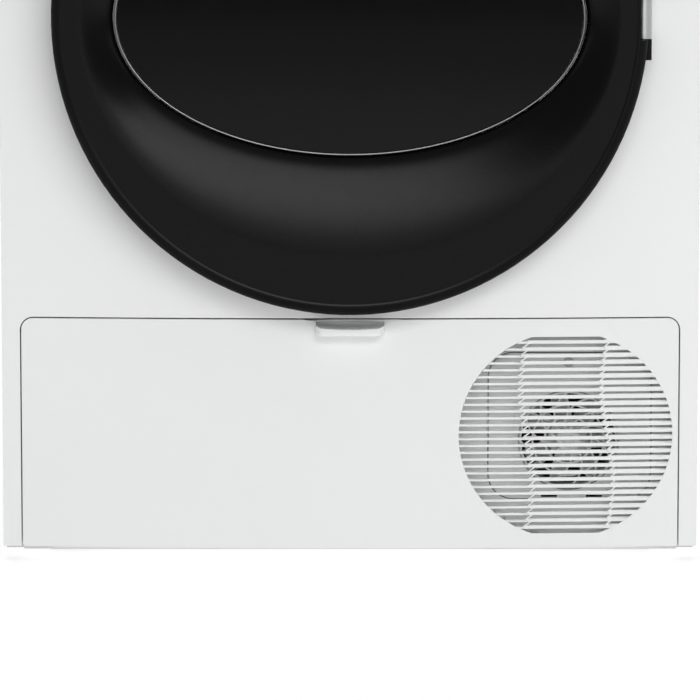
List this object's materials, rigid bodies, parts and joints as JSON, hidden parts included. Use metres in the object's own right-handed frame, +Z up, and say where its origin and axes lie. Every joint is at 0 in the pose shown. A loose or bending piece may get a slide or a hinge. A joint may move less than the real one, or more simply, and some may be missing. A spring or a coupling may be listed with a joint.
{
  "type": "clothes dryer",
  "caption": "Free-standing heat-pump tumble dryer with a round front door, a drop-down lower flap with a louvred grille, a pull-out water tank and a belt-driven drum.",
  "frame": {"origin": "on the floor, at the middle of the overall bounding box", "axes": "+X to the right seen from the front, front faces -Y, +Z up"},
  "size_m": [0.595, 0.649, 0.849],
  "materials": {
    "white_enamel": "smooth white enamel",
    "white_plastic": "smooth satin white plastic",
    "worktop_white": "white laminate on chipboard",
    "grey_plastic": "moulded grey plastic",
    "dark_plastic": "moulded dark plastic",
    "black_gloss": "satin black plastic",
    "black_glass": "glossy black window",
    "inner_glass": "clear glass",
    "silver_trim": "satin silver",
    "steel": "plain steel",
    "galvanised": "galvanised sheet",
    "black_metal": "black painted metal",
    "aluminium_fins": "bare fins",
    "copper": "bare copper tube",
    "rubber": "moulded rubber",
    "felt": "pressed felt",
    "tank_plastic": "milky translucent plastic"
  },
  "bodies": {
    "cabinet": {"base_tray": "grey_plastic", "side_panel_left": "white_enamel", "side_panel_right": "white_enamel", "rear_panel": "galvanised", "rear_cover": "grey_plastic", "front_panel": "white_enamel", "front_bulkhead": "grey_plastic", "worktop": "worktop_white", "control_panel": "white_plastic", "display_window": "black_glass", "control_board": "dark_plastic", "door_catch": "dark_plastic", "door_hinge": "steel", "door_gasket": "rubber", "drum_felts": "felt", "rear_bearing": "dark_plastic", "drum_belt": "rubber", "motor_stator": "black_metal", "blower_housing": "grey_plastic", "compressor": "black_metal", "compressor_mounts": "rubber", "evaporator": "aluminium_fins", "condenser": "aluminium_fins", "refrigerant_pipes": "copper", "heat_pump_cover": "grey_plastic", "condensate_pump": "dark_plastic", "condensate_hose": "grey_plastic", "fan_frame": "dark_plastic", "fan_guard": "grey_plastic", "service_cover": "white_plastic", "power_inlet": "dark_plastic", "rear_screws": "steel", "rear_feet": "rubber"},
    "door": {"door_ring": "black_gloss", "door_dish": "black_gloss", "door_trim": "silver_trim", "door_window": "black_glass", "door_inner": "white_plastic", "door_glass": "inner_glass", "door_latch": "white_plastic"},
    "flap_body": {"flap": "white_plastic", "flap_handle": "white_plastic"},
    "tank_body": {"water_tank": "tank_plastic", "tank_front": "white_plastic"},
    "filter_body": {"lint_filter": "grey_plastic"},
    "drum_body": {"drum": "steel", "drum_shaft": "steel", "drum_baffles": "white_plastic"},
    "roller_left_body": {"roller_left": "dark_plastic"},
    "roller_right_body": {"roller_right": "dark_plastic"},
    "rotor_body": {"motor_rotor": "steel", "blower_impeller": "grey_plastic"},
    "idler_arm_body": {"idler_arm": "steel"},
    "idler_pulley_body": {"idler_pulley": "dark_plastic"},
    "fan_body": {"fan_rotor": "dark_plastic"},
    "knob_body": {"programme_knob": "silver_trim"},
    "power_button_body": {"power_button": "silver_trim"},
    "start_button_body": {"start_button": "silver_trim"},
    "foot_left_body": {"foot_front_left": "rubber"},
    "foot_right_body": {"foot_front_right": "rubber"}
  },
  "joints": [
    {"name": "door_hinge_turn", "type": "hinge", "parent": "cabinet", "child": "door", "pos_m": [0.2472, -0.3, 0.467], "axis": [0, 0, 1], "range_deg": [0, 150]},
    {"name": "flap_hinge", "type": "hinge", "parent": "cabinet", "child": "flap_body", "pos_m": [0, -0.277, 0.022], "axis": [1, 0, 0], "range_deg": [0, 80]},
    {"name": "tank_slide", "type": "slide", "parent": "cabinet", "child": "tank_body", "axis": [0, -1, 0], "range_m": [0, 0.4]},
    {"name": "filter_slide", "type": "slide", "parent": "cabinet", "child": "filter_body", "axis": [0, 0, 1], "range_m": [0, 0.11]},
    {"name": "drum_spin", "type": "hinge", "parent": "cabinet", "child": "drum_body", "pos_m": [0, 0, 0.52], "axis": [0, 1, 0], "continuous": true},
    {"name": "roller_left_spin", "type": "hinge", "parent": "cabinet", "child": "roller_left_body", "pos_m": [-0.18784, -0.21, 0.27958], "axis": [0, 1, 0], "continuous": true},
    {"name": "roller_right_spin", "type": "hinge", "parent": "cabinet", "child": "roller_right_body", "pos_m": [0.18784, -0.21, 0.27958], "axis": [0, 1, 0], "continuous": true},
    {"name": "motor_spin", "type": "hinge", "parent": "cabinet", "child": "rotor_body", "pos_m": [0.02, 0.06, 0.125], "axis": [0, 1, 0], "continuous": true},
    {"name": "idler_arm_swing", "type": "hinge", "parent": "cabinet", "child": "idler_arm_body", "pos_m": [-0.05142, 0.12, 0.10048], "axis": [0, 1, 0], "range_deg": [-12, 0], "stiffness_Nm_per_rad": 0.5, "springref_deg": 11.46},
    {"name": "idler_pulley_spin", "type": "hinge", "parent": "idler_arm_body", "child": "idler_pulley_body", "pos_m": [-0.04342, 0.134, 0.14848], "axis": [0, 1, 0], "continuous": true},
    {"name": "fan_spin", "type": "hinge", "parent": "cabinet", "child": "fan_body", "pos_m": [0.1875, -0.244, 0.102], "axis": [0, 1, 0], "continuous": true},
    {"name": "knob_turn", "type": "hinge", "parent": "cabinet", "child": "knob_body", "pos_m": [0, -0.298, 0.782], "axis": [0, 1, 0], "continuous": true},
    {"name": "power_press", "type": "slide", "parent": "cabinet", "child": "power_button_body", "axis": [0, 1, 0], "range_m": [0, 0.0015], "stiffness_N_per_m": 300},
    {"name": "start_press", "type": "slide", "parent": "cabinet", "child": "start_button_body", "axis": [0, 1, 0], "range_m": [0, 0.0015], "stiffness_N_per_m": 300},
    {"name": "foot_left_turn", "type": "hinge", "parent": "cabinet", "child": "foot_left_body", "pos_m": [-0.245, -0.19, 0.02], "axis": [0, 0, 1], "continuous": true},
    {"name": "foot_right_turn", "type": "hinge", "parent": "cabinet", "child": "foot_right_body", "pos_m": [0.245, -0.19, 0.02], "axis": [0, 0, 1], "continuous": true}
  ],
  "couplings": [
    {"joint": "roller_left_spin", "follows": "drum_spin", "ratio": -11.2},
    {"joint": "roller_right_spin", "follows": "drum_spin", "ratio": -11.2},
    {"joint": "motor_spin", "follows": "drum_spin", "ratio": 26.687},
    {"joint": "idler_pulley_spin", "follows": "drum_spin", "ratio": -17.116}
  ]
}
